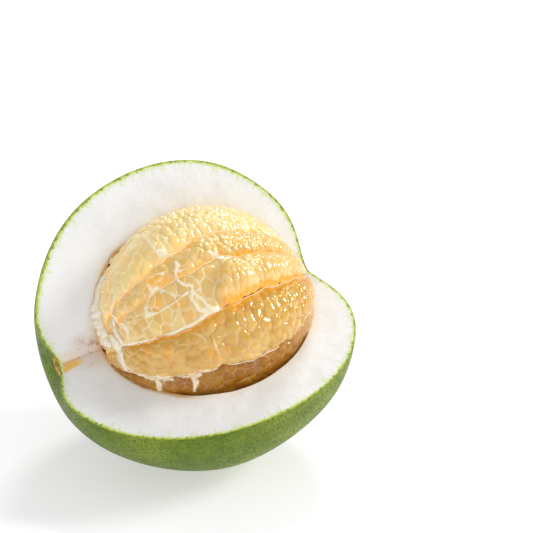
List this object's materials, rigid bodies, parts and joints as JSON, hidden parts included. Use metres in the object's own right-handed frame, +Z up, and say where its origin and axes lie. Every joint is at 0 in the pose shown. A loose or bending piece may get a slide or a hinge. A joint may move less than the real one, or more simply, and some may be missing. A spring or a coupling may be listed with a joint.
{
  "type": "cut pomelo",
  "caption": "Pomelo with a wedge of green rind and white pith cut away to show the peeled flesh in its segments, resting on its side.",
  "frame": {"origin": "centre of the small flat spot on the skin that the fruit rests on", "axes": "+Z up; +X runs from the stem end towards the blossom end, which is tilted up; the cut opens towards -Y and up"},
  "size_m": [0.1432, 0.1439, 0.1408],
  "materials": {
    "skin": "waxy green citrus skin with fine oil glands",
    "pith": "matte white pith, slightly fibrous",
    "stem_scar": "dry woody stem scar",
    "flesh": "wet translucent honey-yellow juice sacs",
    "deep_flesh": "wet translucent amber juice sacs",
    "membrane": "thin moist white membrane"
  },
  "bodies": {
    "root": {"skin": "skin", "pith": "pith", "stem_scar": "stem_scar", "segment_01": "flesh", "segment_02": "flesh", "segment_03": "flesh", "segment_04": "flesh", "segment_05": "deep_flesh", "segment_06": "flesh", "segment_07": "flesh", "segment_08": "flesh", "segment_09": "flesh", "segment_10": "flesh", "segment_11": "flesh", "segment_12": "flesh", "segment_13": "flesh", "septum_1": "membrane", "septum_2": "membrane", "septum_3": "membrane", "septum_4": "membrane"}
  },
  "joints": []
}
